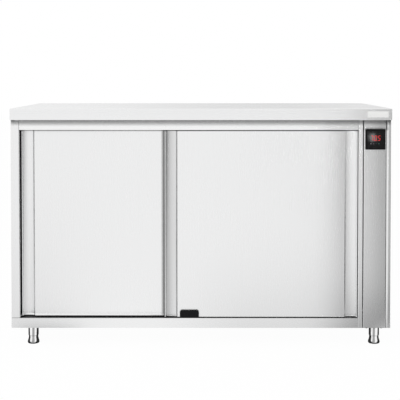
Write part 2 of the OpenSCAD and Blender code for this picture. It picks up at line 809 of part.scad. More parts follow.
// Gland in the rear panel: the sealed bore takes the supply cable
module cable_gland() {
    y = body_y1;
    color(black) difference() {
        union() {
            translate([gland_x, y + 7, gland_z]) rotate([90, 0, 0]) cylinder(h = 7, r = 13, $fn = 6);
            rod_y(gland_x, y + 7, y + 17, gland_z, 11);
            rod_y(gland_x, y + 17, y + 20, gland_z, 9.5);
            rod_y(gland_x, y - 14, y, gland_z, 9.9);
            translate([gland_x, y - sheet, gland_z]) rotate([90, 0, 0]) cylinder(h = 5, r = 14, $fn = 6);
        }
        rod_y(gland_x, y + 2, y + 21, gland_z, gland_bore_r);
        rod_y(gland_x, y - 15, y + 2, gland_z, 7.5);
    }
}

// M6 stud for the equipotential bonding wire
module earth_stud() {
    y = body_y1;
    color("gold") {
        rod_y(stud_x, y - 10, y + 20, gland_z, stud_r);
        rod_y(stud_x, y, y + 1.2, gland_z, 6);
        translate([stud_x, y + 6.2, gland_z]) rotate([90, 0, 0]) cylinder(h = 5, r = 5.8, $fn = 6);
        translate([stud_x, y - sheet, gland_z]) rotate([90, 0, 0]) cylinder(h = 5, r = 5.8, $fn = 6);
    }
}

// Pan-head screw along +Z, its head's underside at the origin and its shank below it
module screw(shank) {
    slot_w = 0.8;
    translate([0, 0, -shank]) cylinder(h = shank, r = 2);
    difference() {
        cylinder(h = 2.2, r = 4);
        translate([0, 0, 2]) cube([5, slot_w, 1.6], center = true);
        translate([0, 0, 2]) cube([slot_w, 5, 1.6], center = true);
    }
}

// Screws of the rear panel and of the fascia's foot
module panel_screws() {
    color(zinc) {
        for (p = back_screw_places) translate([p[0], body_y1, p[1]]) rotate([-90, 0, 0]) screw(3);
        for (x = fascia_screw_xs) translate([x, fascia_screw_y, body_z0]) rotate([180, 0, 0]) screw(10);
    }
}

// ---------------------------------------------------------------- legs and feet

module leg_sockets() {
    plate = 70;
    z = body_z0 + sheet;
    color(zinc) foot_places() difference() {
        union() {
            block([-plate / 2, -plate / 2, z], [plate / 2, plate / 2, z + 3]);
            translate([0, 0, z + 3]) cylinder(h = 14, r = 14);
        }
        translate([0, 0, z - 1]) cylinder(h = 20, r = stem_r + running_gap);
    }
}

module leg_tubes() {
    color(steel) foot_places() difference() {
        translate([0, 0, foot_split_z]) cylinder(h = body_z0 - foot_split_z, r = tube_r);
        translate([0, 0, foot_split_z - 1]) cylinder(h = body_z0, r = tube_r - tube_wall);
    }
}

// Screw foot: a waisted cup under a sleeve that slides in the tube, on a threaded stem
module screw_foot(x, y) {
    color(steel) translate([x, y, 0]) rotate_extrude() polygon([
        [0, 0], [17.5, 0], [19.6, 0.6], [21, 2], [21.6, 4], [21.5, 6.5], [20.7, 10.5],
        [19.4, 14.5], [18.1, 19.5], [17.6, 22.5], [sleeve_r, 27], [sleeve_r, 57], [stem_r, 57],
        [stem_r, stem_top_z - 1], [stem_r - 1, stem_top_z], [0, stem_top_z],
    ]);
}

module foot_front_left() { screw_foot(foot_x0, -foot_y); }
module foot_front_right() { screw_foot(foot_x1, -foot_y); }
module foot_rear_left() { screw_foot(foot_x0, foot_y); }
module foot_rear_right() { screw_foot(foot_x1, foot_y); }

worktop();
worktop_ribs();
worktop_insulation();
left_side_panel();
right_side_panel();
header_rail();
bottom_rail();
base_panel();
back_panel();
cabinet_floor();
cabinet_ceiling();
cabinet_left_wall();
cabinet_back_wall();
column_partition();
insulation_left();
insulation_back();
insulation_top();
insulation_bottom();
top_track();
track_buffers();
door_guide();
left_door_outer();
left_door_inner();
left_door_core();
left_door_hangers();
left_door_axles();
left_door_roller_a();
left_door_roller_b();
right_door_outer();
right_door_inner();
right_door_core();
right_door_hangers();
right_door_axles();
right_door_roller_a();
right_door_roller_b();
mid_shelf();
shelf_pegs();
column_fascia();
controller_housing();
controller_bezel();
controller_window();
fan_box();
fan_motor();
fan_shaft();
fan_impeller();
heater_element();
temperature_probe();
safety_thermostat();
terminal_block();
wiring_loom();
vent_plate();
cable_gland();
earth_stud();
panel_screws();
leg_sockets();
leg_tubes();
foot_front_left();
foot_front_right();
foot_rear_left();
foot_rear_right();
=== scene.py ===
# %% [markdown]
# # Plate warmer cabinet
# A stainless steel heated cupboard for a kitchen pass: a worktop, two hanging sliding doors,
# a service column with its display on the right, and four screw feet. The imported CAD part
# is loaded first and never moves, so every finish and every added piece is set by it.

# %% The frame
import math

import bpy
import numpy as np
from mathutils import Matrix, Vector


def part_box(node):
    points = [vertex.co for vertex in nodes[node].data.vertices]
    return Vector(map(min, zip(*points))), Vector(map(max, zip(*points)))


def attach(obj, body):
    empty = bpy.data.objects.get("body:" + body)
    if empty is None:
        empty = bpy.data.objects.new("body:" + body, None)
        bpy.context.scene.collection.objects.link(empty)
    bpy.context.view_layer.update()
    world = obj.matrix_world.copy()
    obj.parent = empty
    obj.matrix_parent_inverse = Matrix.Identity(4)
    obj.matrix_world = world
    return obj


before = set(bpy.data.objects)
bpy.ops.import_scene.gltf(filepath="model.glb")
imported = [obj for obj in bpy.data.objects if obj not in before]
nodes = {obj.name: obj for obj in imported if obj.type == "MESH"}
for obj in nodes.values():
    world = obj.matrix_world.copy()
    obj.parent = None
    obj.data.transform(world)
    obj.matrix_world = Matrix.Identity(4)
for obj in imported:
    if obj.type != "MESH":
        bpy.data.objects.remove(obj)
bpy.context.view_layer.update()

scene = bpy.context.scene

# %% [markdown]
# ## Camera
# The worktop's side edges and the upright corners give the photograph's view: the camera is
# level with a point about 12 cm over the worktop, 3.7 m in front of it. A long lens keeps
# the front nearly square. A little lens shift holds the corners upright, as a view camera does.

# %% Camera
PICTURE_WIDTH = 400  # pixels
FOCAL_LENGTH = 1001.6  # in the same pixels
SENSOR_WIDTH = 36  # mm
EYE = (0.0018, -4.0075, 1.0033)
DOWN, LEFT = 1.668, 0.078  # degrees

camera_data = bpy.data.cameras.new("camera")
camera_data.sensor_width = SENSOR_WIDTH
camera_data.lens = SENSOR_WIDTH * FOCAL_LENGTH / PICTURE_WIDTH
camera_data.shift_y = -0.240
camera_data.clip_end = 60
camera = bpy.data.objects.new("camera", camera_data)
camera.location = EYE
camera.rotation_euler = (math.radians(90 - DOWN), 0, math.radians(LEFT))
scene.collection.objects.link(camera)
scene.camera = camera
print("lens in mm:", round(camera_data.lens, 1))

# %% [markdown]
# ## Helpers for node trees
# Every finish is a small network of shader nodes. Written out in full, each node takes four
# or five lines, and the idea is lost between them. `joined` adds a node and wires it, and
# the helpers after it name the few nodes that every finish uses: sums, vector sums, a
# vector's parts, a mix and a noise. Each takes the tree first and gives back a socket.

# %% Node helpers
def joined(tree, kind, inputs=None, **settings):
    """One new node of that kind in the tree: settings are its own properties, and each
    input is set to a plain value or linked from a socket."""
    node = tree.nodes.new(kind)
    for name, value in settings.items():
        setattr(node, name, value)
    for name, value in (inputs or {}).items():
        if isinstance(value, bpy.types.NodeSocket):
            tree.links.new(value, node.inputs[name])
        else:
            node.inputs[name].default_value = value
    return node


def maths(tree, operation, *values):
    """The output of a Math node over one to three values."""
    return joined(tree, "ShaderNodeMath", dict(enumerate(values)), operation=operation).outputs[0]


def product(tree, *values):
    """The product of one or more values."""
    result = values[0]
    for value in values[1:]:
        result = maths(tree, "MULTIPLY", result, value)
    return result


def vectors(tree, operation, *values, **named):
    """The output of a Vector Math node over one or two vectors, and a Scale by name."""
    inputs = {**dict(enumerate(values)), **named}
    return joined(tree, "ShaderNodeVectorMath", inputs, operation=operation).outputs[0]


def parts(tree, vector):
    """A vector's three values, by the names X, Y and Z."""
    return joined(tree, "ShaderNodeSeparateXYZ", {"Vector": vector}).outputs


def mixed(tree, factor, a, b, kind="FLOAT"):
    """From a at factor 0 to b at factor 1, for values, vectors or colours."""
    inputs = {"Factor": factor, "A": a, "B": b}
    return joined(tree, "ShaderNodeMix", inputs, data_type=kind).outputs["Result"]


def noise(tree, place, scale, detail, **more):
    """The value of a Noise Texture at a place. More sets its other inputs."""
    inputs = {"Vector": place, "Scale": scale, "Detail": detail, **more}
    return joined(tree, "ShaderNodeTexNoise", inputs).outputs[0]


# %% [markdown]
# ## Soft masks
# Much of this scene is drawn by masks: a value that is one inside some region and none
# outside, with soft borders. `ramp` is one soft border, `patch` is the region inside a few
# of them, and `darkened` takes a share off a tone where a mask is one.

# %% Masks
FALLING = (1.0, 0.0)


def ramp(tree, value, start, end, low=0.0, high=1.0):
    """Low before start, high after end, and the smooth curve 3t² - 2t³ between them."""
    inputs = {"Value": value, "From Min": start, "From Max": end, "To Min": low, "To Max": high}
    node = joined(tree, "ShaderNodeMapRange", inputs, interpolation_type="SMOOTHSTEP")
    return node.outputs["Result"]


def patch(tree, *borders):
    """The product of ramps, where each border holds the values of one ramp."""
    return product(tree, *(ramp(tree, *border) for border in borders))


def darkened(tree, tone, mask, depth):
    """The tone, less depth times the mask."""
    return maths(tree, "MULTIPLY_ADD", mask, -depth, tone)


# %% [markdown]
# ## Node groups
# A network that several finishes share is made once as a node group, with its own inputs
# and outputs, and placed wherever it is needed: `new_group` makes an empty one, and
# `placed` puts one into a tree.

# %% Group helpers
def new_group(name, inputs, outputs):
    """An empty shader node group: inputs and outputs give each socket's kind by its name.
    Returns the tree, the sockets its inputs come from, and the node its outputs go to."""
    tree = bpy.data.node_groups.new(name, "ShaderNodeTree")
    for in_out, sockets in (("INPUT", inputs), ("OUTPUT", outputs)):
        for label, kind in sockets.items():
            tree.interface.new_socket(label, in_out=in_out, socket_type="NodeSocket" + kind)
    return tree, tree.nodes.new("NodeGroupInput").outputs, tree.nodes.new("NodeGroupOutput")


def placed(tree, group, **inputs):
    """The outputs of one use of a group in a tree, with underscores for spaces in the names."""
    spaced = {name.replace("_", " "): value for name, value in inputs.items()}
    return joined(tree, "ShaderNodeGroup", spaced, node_tree=group).outputs


# %% [markdown]
# ## The studio
# Bare steel has no colour of its own: it shows the room. In the photograph the doors mirror
# a white room that turns darker towards the front on the right, so the right door and the
# column fade to grey. Painting that fade on the steel would stay put when the cabinet is
# turned. So the room itself carries it, as one function of direction that both the world
# and the floor use: a soft dark band in front on the right, fainter patches low down on
# both sides, and white everywhere else in front.

# %% Studio tone
BAND_LEAN = -0.35  # the band reaches further right the higher it goes
BAND_DEPTH, LOW_CORNER_DEPTH, BELOW_DEPTH, CORNER_DEPTH = 0.75, 0.22, 0.20, 0.16
DARKEST = 0.05
LOWEST = -0.26  # every low patch is full below this height of the direction

studio_tone, given, result = new_group("studio tone", {"Direction": "Vector"}, {"Tone": "Float"})
way = parts(studio_tone, vectors(studio_tone, "NORMALIZE", given["Direction"]))
low_right = maths(studio_tone, "MULTIPLY_ADD", way["Z"], BAND_LEAN, way["X"])
band = patch(studio_tone, (low_right, 0.17, 0.37), (low_right, 0.60, 0.95, *FALLING),
             (way["Y"], -0.45, -0.15, *FALLING))
low_corner = patch(studio_tone, (way["Z"], LOWEST, -0.15, *FALLING), (way["X"], 0.12, 0.34))
below = patch(studio_tone, (way["Z"], LOWEST, -0.17, *FALLING), (way["X"], -0.06, 0.06))
corner = patch(studio_tone, (way["Z"], LOWEST, -0.08, *FALLING),
               (way["X"], -0.20, -0.10, *FALLING))
right_tone = darkened(studio_tone, darkened(studio_tone, 1.0, band, BAND_DEPTH),
                      low_corner, LOW_CORNER_DEPTH)
low_tone = darkened(studio_tone, darkened(studio_tone, 1.0, corner, CORNER_DEPTH),
                    below, BELOW_DEPTH)
front_tone = product(studio_tone, maths(studio_tone, "MAXIMUM", right_tone, DARKEST), low_tone)

# %% [markdown]
# ## Behind the cabinet
# The worktop is seen at a low angle, so it mirrors the wall behind. There the tone falls
# from left to right and lifts a little again, and it takes over from the front's tone as
# the direction turns backwards.

# %% Tone behind
behind = maths(studio_tone, "ADD", ramp(studio_tone, way["X"], -0.15, 0.08, 0.92, 0.755),
               ramp(studio_tone, way["X"], 0.08, 0.16, 0.0, 0.06))
back_share = ramp(studio_tone, way["Y"], 0.5, 0.95)
tone = mixed(studio_tone, back_share, front_tone, behind)
studio_tone.links.new(tone, result.inputs["Tone"])
print("studio tone has", len(studio_tone.nodes), "nodes")

# %% [markdown]
# ## World
# The world answers three kinds of rays. The camera sees pure white, a mirror or a glass
# sees the studio's tone, and the light that falls on matt surfaces comes evenly from all
# sides, a little weaker than white. The Light Path node tells the rays apart.

# %% World
WHITE = (1, 1, 1, 1)
LIGHT_STRENGTH = 0.80

world = bpy.data.worlds.new("studio")
scene.world = world
world.use_nodes = True
air = world.node_tree
air.nodes.clear()
direction = joined(air, "ShaderNodeTexCoord").outputs["Generated"]
ray = joined(air, "ShaderNodeLightPath").outputs
mirrored = maths(air, "MAXIMUM", ray["Is Glossy Ray"], ray["Is Transmission Ray"])
strength = mixed(air, ray["Is Camera Ray"], LIGHT_STRENGTH, 1.0)
strength = mixed(air, mirrored, strength, placed(air, studio_tone, Direction=direction)["Tone"])
background = joined(air, "ShaderNodeBackground", {"Color": WHITE, "Strength": strength})
joined(air, "ShaderNodeOutputWorld", {"Surface": background.outputs[0]})
scene.view_settings.view_transform = "Standard"

# %% [markdown]
# ## Lamps
# The white room already lights the cabinet from everywhere. One large soft lamp from the
# upper left front gives the matt plastic pieces a direction of light. It is kept out of
# reflections, where it would burn a white patch into the steel. A second one, no bigger
# than a matchbox and far too weak to light anything, stands where the display's glass
# mirrors it: it makes the pale slanted patch over the first figure.

# %% Lamps
GLINT_PLACE = (1.259, -4.0075, 0.543)
GLINT_ON_GLASS = (0.6304, -0.333, 0.7732)
GLINT_SLANT = 24  # degrees


def lamp(name, place, target, size, power, mirrored):
    """A rectangular area lamp of size (wide, high) at place, turned to face target."""
    data = bpy.data.lights.new(name, "AREA")
    data.shape = "RECTANGLE"
    data.size, data.size_y = size
    data.energy = power
    obj = bpy.data.objects.new(name, data)
    obj.location = place
    obj.rotation_euler = (Vector(target) - Vector(place)).to_track_quat("-Z", "Y").to_euler()
    obj.visible_camera = False
    obj.visible_glossy = mirrored
    scene.collection.objects.link(obj)
    print(name, "of", power, "W at", place)
    return obj


lamp("key lamp", (-2.2, -3.2, 3.0), (0, 0, 0.4), (2.0, 2.0), 70, mirrored=False)
glint = lamp("glint lamp", GLINT_PLACE, GLINT_ON_GLASS, (0.046, 0.052), 0.120, mirrored=True)
glint.rotation_euler.rotate_axis("Z", math.radians(GLINT_SLANT))

# %% [markdown]
# ## Floor
# The floor is a plain square that reaches far past the view.

# %% Floor
FLOOR_REACH = 20

floor_mesh = bpy.data.meshes.new("floor")
floor_mesh.from_pydata([(x * FLOOR_REACH, y * FLOOR_REACH, 0)
                        for x, y in ((-1, -1), (1, -1), (1, 1), (-1, 1))], [], [(0, 1, 2, 3)])
floor = bpy.data.objects.new("floor", floor_mesh)
scene.collection.objects.link(floor)

# %% [markdown]
# ## What the steel mirrors of the floor
# In the steel the floor shows a painted pattern of places, seen only in mirrors: painted
# shadow under the cabinet and close beside it, a grey wedge running forward from each foot,
# a greyer patch in front on the right, and the room's tone everywhere else. The polished
# feet turn the first two into painted dark outlines and the grey middle of turned chrome,
# and the patch paints shade into the column and the rail towards their foot. The tone is
# looked up from a point behind the doors, which is where the camera's mirror image stands,
# so the room's fade goes on without a break where the floor begins.

# %% Floor pattern
MIRROR_IMAGE = (0.0, 3.3, 1.0)
FOOT_X, FOOT_Y = 0.6375, 0.28
WEDGE_LEAN = 0.17  # to the inside, per metre forward
SHADOW_DEPTH, WEDGE_DEPTH, PATCH_DEPTH = 0.97, 0.62, 0.50
FRONT_EDGE = (-0.56, -0.52)  # where the bright floor by the feet gives way to the patch

matt_white = bpy.data.materials.new("floor")
matt_white.use_nodes = True
tree = matt_white.node_tree
tree.nodes.clear()
where = joined(tree, "ShaderNodeTexCoord").outputs["Object"]
spot = parts(tree, where)
across = maths(tree, "ABSOLUTE", spot["X"])
deep = maths(tree, "ABSOLUTE", spot["Y"])
under = patch(tree, (across, 0.69, 0.71, *FALLING), (deep, 0.300, 0.318, *FALLING))
beside = patch(tree, (across, 0.96, 1.04, *FALLING), (deep, 0.312, 0.332, *FALLING))
out = maths(tree, "SUBTRACT", deep, FOOT_Y)
lean = maths(tree, "DIVIDE", maths(tree, "SUBTRACT", across, FOOT_X), out)
off_wedge = maths(tree, "ABSOLUTE", maths(tree, "ADD", lean, WEDGE_LEAN))
wedge = patch(tree, (off_wedge, 0.34, 0.62, *FALLING), (out, 0.03, 0.05),
              (out, 0.26, 0.32, *FALLING))
right_front = patch(tree, (spot["X"], 0.49, 0.79), (spot["Y"], -1.32, -0.65),
                    (spot["Y"], *FRONT_EDGE, *FALLING))
# Painted shadow and painted reflection: these masks darken the floor's glow as mirrors see it.
painted_mirror_shade = product(tree, *(darkened(tree, 1.0, mask, depth) for mask, depth in (
    (maths(tree, "MAXIMUM", under, beside), SHADOW_DEPTH), (wedge, WEDGE_DEPTH),
    (right_front, PATCH_DEPTH))))
seen_from = vectors(tree, "SUBTRACT", where, MIRROR_IMAGE)
tone = placed(tree, studio_tone, Direction=seen_from)["Tone"]
# Painted highlight: in mirrors the floor just in front of the feet is lifted to white.
near_feet = patch(tree, (spot["Y"], *FRONT_EDGE), (across, 0.40, 0.48))
tone = maths(tree, "MAXIMUM", tone, near_feet)

# %% [markdown]
# ## The floor's white
# The floor has to look pure white to the camera and still hold a faint shadow, so it mixes
# a white glow with a little ordinary matt white. A mirror sees the glow alone, in the room's
# tone times the painted shadow and reflection pattern, and all other rays meet the matt
# white alone.

# %% Floor material
GLOW_SHARE = 0.975

ray = joined(tree, "ShaderNodeLightPath").outputs
glow_share = mixed(tree, ray["Is Camera Ray"], ray["Is Glossy Ray"], GLOW_SHARE)
glow = mixed(tree, ray["Is Glossy Ray"], 1.0, product(tree, tone, painted_mirror_shade))
glowing = joined(tree, "ShaderNodeEmission", {"Color": WHITE, "Strength": glow}).outputs[0]
paint = joined(tree, "ShaderNodeBsdfDiffuse", {"Color": (0.88, 0.88, 0.88, 1)}).outputs[0]
both = joined(tree, "ShaderNodeMixShader", {0: glow_share, 1: paint, 2: glowing}).outputs[0]
joined(tree, "ShaderNodeOutputMaterial", {"Surface": both})
floor_mesh.materials.append(matt_white)
print("floor material has", len(tree.nodes), "nodes")

# %% [markdown]
# ## Brushed grain
# Sheet steel is ground with a belt, which leaves fine scratches along the sheet's length.
# A noise that is stretched a few hundred times along one axis looks like them. One octave
# would look like combed hair, so the group mixes fine scratches with broad faint streaks
# and a cloudy smear, as left by a cleaning cloth. Its Stretch input sets which way the
# grain runs and how fine it is, so one group serves every brushed sheet of the cabinet.

# %% Brushed grain
brushed_grain, given, result = new_group(
    "brushed grain", {"Place": "Vector", "Stretch": "Vector", "Streaks": "Float", "Smear": "Float"},
    {"Tone": "Float", "Height": "Float", "Roughness": "Float"})
thin = vectors(brushed_grain, "MULTIPLY", given["Place"], given["Stretch"])
scratch = noise(brushed_grain, thin, 1.6, 3.0, Roughness=0.65)
streak = noise(brushed_grain, thin, 0.07, 2.0, Roughness=0.5)
cloud = noise(brushed_grain, given["Place"], 3.1, 3.0, Roughness=0.55, Distortion=0.6)
lines = maths(brushed_grain, "MULTIPLY_ADD", scratch, 0.5, product(brushed_grain, streak, 0.5))
streaky, smeared = (product(brushed_grain, maths(brushed_grain, "SUBTRACT", value, 0.5), share)
                    for value, share in ((lines, given["Streaks"]), (cloud, given["Smear"])))
tone = maths(brushed_grain, "ADD", maths(brushed_grain, "ADD", streaky, smeared), 1.0)
rough = maths(brushed_grain, "MULTIPLY_ADD", scratch, 0.08, -0.09)
rough = maths(brushed_grain, "MULTIPLY_ADD", cloud, 0.10, rough)
for label, value in (("Tone", tone), ("Height", scratch), ("Roughness", rough)):
    brushed_grain.links.new(value, result.inputs[label])
print("brushed grain has", len(brushed_grain.nodes), "nodes")

# %% [markdown]
# ## Contact shade
# Where two sheets meet or overlap, light has few ways in: the strip under the worktop's
# apron, the pull recesses and the gaps around the doors are all clearly darker. This group
# paints that shade into the colour. Ambient Occlusion measures how closed in a point is,
# within a short distance, so it finds such places on any piece without drawing them.

# %% Contact shade
contact_shade, given, result = new_group(
    "contact shade", {"Reach": "Float", "Depth": "Float"}, {"Shade": "Float"})
closeness = joined(contact_shade, "ShaderNodeAmbientOcclusion", {"Distance": given["Reach"]},
                   samples=12)
shade = maths(contact_shade, "POWER", closeness.outputs["AO"], given["Depth"])
contact_shade.links.new(shade, result.inputs["Shade"])

# %% [markdown]
# ## Sheet bow
# No door skin or fascia is perfectly flat. A bow of a few degrees can't be seen as a shape,
# but it moves the mirrored room by twice the angle, and that is what makes the right door
# and the column fade to grey. The group turns the surface normal to the right, by an angle
# that grows between two places along X and stops at a third, and leaves the mesh alone.
# Beyond that third place Keep scales the normal along each axis: less than one takes some
# of the lean out of a shallow hollow or a bell, which otherwise mirrors too much of the
# room. Lift turns the normal up along a sheet's rolled lower edge, below the Roll height.

# %% Sheet bow
sheet_bow, given, result = new_group(
    "sheet bow",
    {"Place": "Vector", "Left": "Float", "Right": "Float", "Turn At Left": "Float",
     "Turn At Right": "Float", "End": "Float", "Keep": "Vector", "Roll": "Float",
     "Lift": "Float"}, {"Normal": "Vector"})
spot = parts(sheet_bow, given["Place"])
turn = ramp(sheet_bow, spot["X"], given["Left"], given["Right"], given["Turn At Left"],
            given["Turn At Right"])
inside = maths(sheet_bow, "LESS_THAN", spot["X"], given["End"])
rolled = maths(sheet_bow, "LESS_THAN", spot["Z"], given["Roll"])
tilt = joined(sheet_bow, "ShaderNodeCombineXYZ", {
    "X": product(sheet_bow, turn, inside), "Z": product(sheet_bow, rolled, given["Lift"])})
normal = joined(sheet_bow, "ShaderNodeNewGeometry").outputs["Normal"]
scaled = vectors(sheet_bow, "MULTIPLY", normal, given["Keep"])
normal = mixed(sheet_bow, inside, scaled, normal, "VECTOR")
normal = vectors(sheet_bow, "ADD", normal, tilt.outputs[0])
normal = vectors(sheet_bow, "NORMALIZE", normal)
sheet_bow.links.new(normal, result.inputs["Normal"])


def bowed(left=0.0, right=1.0, at_left=0.0, at_right=0.0, end=2.0, keep=(1.0, 1.0, 1.0),
          roll=-1.0, lift=0.0):
    """The sheet bow's values by name. As they stand, the sheet is flat."""
    return {"Left": left, "Right": right, "Turn_At_Left": at_left, "Turn_At_Right": at_right,
            "End": end, "Keep": keep, "Roll": roll, "Lift": lift}


# %% [markdown]
# ## Finishes
# Each finish starts the same way: a Principled BSDF, and the object's own coordinates in
# metres. `finish` makes these two and hands back the tree, so that the next cells hold only
# what is special to each material. `drives` links what they worked out to the shader, and
# `gives` puts a finish on CAD pieces by name.

# %% Starting a finish
def finish(name, **fixed):
    """A new material with its Principled BSDF set from the fixed values (underscores stand
    for spaces). Returns the material, its tree, the shader, and the Object coordinates."""
    material = bpy.data.materials.new(name)
    material.use_nodes = True
    tree = material.node_tree
    shader = tree.nodes["Principled BSDF"]
    for label, value in fixed.items():
        shader.inputs[label.replace("_", " ")].default_value = value
    return material, tree, shader, joined(tree, "ShaderNodeTexCoord").outputs["Object"]


def drives(tree, shader, **sockets):
    """Links sockets to the shader's inputs of those names (underscores stand for spaces)."""
    for label, socket in sockets.items():
        tree.links.new(socket, shader.inputs[label.replace("_", " ")])


def tinted(tree, colour, *shades):
    """A colour darkened by the product of one or more values."""
    return vectors(tree, "SCALE", colour, Scale=product(tree, *shades))


def shaded(tree, reach, depth):
    """The painted contact shade within reach metres, to a power of depth."""
    return placed(tree, contact_shade, Reach=reach, Depth=depth)["Shade"]


def bumped(tree, height, depth, normal=None):
    """The normal of a surface whose height value stands for that depth in metres."""
    inputs = {"Height": height, "Distance": depth, "Strength": 1.0}
    if normal is not None:
        inputs["Normal"] = normal
    return joined(tree, "ShaderNodeBump", inputs).outputs["Normal"]


def gives(material, *names):
    """Puts a material on CAD nodes."""
    for name in names:
        for slot in nodes[name].material_slots:
            slot.material = material
    print(material.name, "on", len(names), "nodes")


# %% [markdown]
# ## Brushed stainless sheet
# The cabinet's skin is 1 mm stainless sheet with a fine satin finish. The grain runs along
# each sheet's longest edge, as it came off the roll: left to right on the worktop, the
# rails and the shelf, and upright on the doors, stiles and side panels. Two stretches of
# the same group make both. Roughness near 0.3 keeps reflections soft, but still lets the
# room's fade show.

# %% Brushed steel
GRAIN_ALONG = {"x": (2.0, 520.0, 520.0), "z": (520.0, 520.0, 2.0)}
STEEL = (0.880, 0.882, 0.884)
SCRATCH_DEPTH = 0.000004


def brushed_steel(name, grain, roughness=0.27, streaks=0.018, smear=0.025, reach=0.010,
                  depth=0.3, colour=STEEL, bow=None, deeper=(), painted_shade=(), open_mirror=False):
    """Brushed sheet: grain is the axis it runs along, reach and depth set the painted contact
    shade, and bow holds the sheet bow's values where the sheet isn't flat. Deeper lists
    (axis, start, end, depth): the painted shade reaches that depth past a place on the axis.
    The painted shade bands are each (axis, start, end, low, high) and perhaps a last place:
    the tone runs from low to high between the first two and holds up to the last. An open
    mirror shows no painted contact shade in sheets that mirror it."""
    material, tree, shader, place = finish(name, Metallic=1.0)
    grain = placed(tree, brushed_grain, Place=place, Stretch=GRAIN_ALONG[grain],
                   Streaks=streaks, Smear=smear)
    spot = parts(tree, place)
    for axis, start, end, most in deeper:
        depth = maths(tree, "MAXIMUM", depth, ramp(tree, spot[axis], start, end, 0.0, most))
    contact = shaded(tree, reach, depth)
    if open_mirror:
        glossy = joined(tree, "ShaderNodeLightPath").outputs["Is Glossy Ray"]
        contact = maths(tree, "MAXIMUM", contact, glossy)
    shades = [grain["Tone"], contact]
    # Painted shade: each band darkens the tone between two places along an axis.
    for axis, start, end, low, high, *last in painted_shade:
        fade = ramp(tree, spot[axis], start, end, low, high)
        outside = maths(tree, "MAXIMUM", maths(tree, "LESS_THAN", spot[axis], start),
                        maths(tree, "GREATER_THAN", spot[axis], last[0] if last else end))
        shades.append(maths(tree, "MAXIMUM", fade, outside))
    normal = placed(tree, sheet_bow, Place=place, **bow)["Normal"] if bow else None
    drives(tree, shader, Base_Color=tinted(tree, colour, *shades),
           Roughness=maths(tree, "ADD", grain["Roughness"], roughness),
           Normal=bumped(tree, grain["Height"], SCRATCH_DEPTH, normal))
    return material


# %% [markdown]
# ## Rails and worktop
# The rails lie in the shade of the worktop and the doors, so their painted contact shade is
# deep. The bottom rail's top edge is rolled over, and a narrow band along that roll is
# painted dark over its whole length, for the shade below the doors. The worktop is rubbed in
# all directions in use, so its streaks and smears are stronger.

# %% Rails and worktop
# Painted shade: the band along the rail's roll is darkened to a few hundredths of its tone.
ROLL_PAINTED_SHADE = [("Z", 0.1043, 0.1048, 1.0, 0.06, 0.1065)]
# Painted light: the header takes a lighter copy of the same steel, so it looks brighter.
HEADER_STEEL = (0.925, 0.926, 0.928)

gives(brushed_steel("rail steel", "x", reach=0.020, depth=4.0, bow=bowed(0.28, 0.70, 0.0, 0.07),
                    open_mirror=True, painted_shade=ROLL_PAINTED_SHADE), "bottom_rail", "base_panel")
gives(brushed_steel("header steel", "x", reach=0.026, depth=4.0, colour=HEADER_STEEL,
                    bow=bowed(0.38, 0.50, 0.0, 0.056)), "header_rail")
gives(brushed_steel("worktop steel", "x", streaks=0.07, smear=0.06, reach=0.004,
                    bow=bowed(0.35, 0.70, 0.0, 0.05)), "worktop")

# %% [markdown]
# ## Upright sheets
# The side panels, the stile beside the doors and the fascia share one recipe and differ
# only in their bow. Under the apron their painted contact shade grows much deeper: it is the
# apron's painted shadow.

# %% Upright sheets
UPRIGHT_SHEET = {"grain": "z", "reach": 0.024, "deeper": [("Z", 0.795, 0.806, 4.0)]}

gives(brushed_steel("panel steel", bow=bowed(0.689, 0.692, 0.0, 0.070), **UPRIGHT_SHEET),
      "left_side_panel", "right_side_panel", "back_panel", "vent_plate")
gives(brushed_steel("partition steel", bow=bowed(0.57, 0.58, 0.0, 0.022), **UPRIGHT_SHEET),
      "column_partition")
gives(brushed_steel("fascia steel", bow=bowed(0.60, 0.69, 0.045, 0.085), **UPRIGHT_SHEET),
      "column_fascia")

# %% [markdown]
# ## Door skins
# The doors face the light, so their painted contact shade is faint. Their edges are folded
# back and rolled, and painted shade darkens them: across each pull recess, on the left door
# beside the other door, and along a line under the header. The right door's recess begins
# where its bow ends.

# %% Door skins
# Painted shade bands for each door: the pull recesses and the line under the header.
LEFT_DOOR_PAINTED_SHADE = [("X", -0.6590, -0.636, 0.80, 1.0), ("Z", 0.7930, 0.7985, 1.0, 0.15)]
RIGHT_DOOR_PAINTED_SHADE = [("X", -0.1345, -0.1328, 0.30, 0.50), ("X", -0.1298, -0.0914, 0.60, 0.86),
               ("Z", 0.7950, 0.7972, 1.0, 0.10, 0.81)]
RIGHT_RECESS = 0.5285
LOWER_EDGE_LIFT = 0.22

gives(brushed_steel("left door steel", "z", reach=0.016, depth=0.15,
                    deeper=[("X", -0.20, -0.17, 4.0)], painted_shade=LEFT_DOOR_PAINTED_SHADE,
                    bow=bowed(roll=0.1155, lift=LOWER_EDGE_LIFT)), "left_door_outer")
gives(brushed_steel("right door steel", "z", depth=0.15, painted_shade=RIGHT_DOOR_PAINTED_SHADE,
                    bow=bowed(0.40, 0.58, 0.0, 0.095, RIGHT_RECESS, (0.30, 1.0, 1.0),
                              roll=0.1100, lift=LOWER_EDGE_LIFT)), "right_door_outer")

# %% [markdown]
# ## Liner sheet
# Inside, the heated room is lined with a duller mill finish that nobody grinds. It is the
# same recipe with more roughness, a lower tone, cloudier smears, and a wider and deeper
# painted contact shade.

# %% Liner steel
gives(brushed_steel("liner steel", "x", roughness=0.40, smear=0.08, reach=0.08, depth=1.3,
                    colour=(0.74, 0.745, 0.75)),
      "cabinet_floor", "cabinet_ceiling", "cabinet_left_wall", "cabinet_back_wall",
      "left_door_inner", "right_door_inner", "mid_shelf")

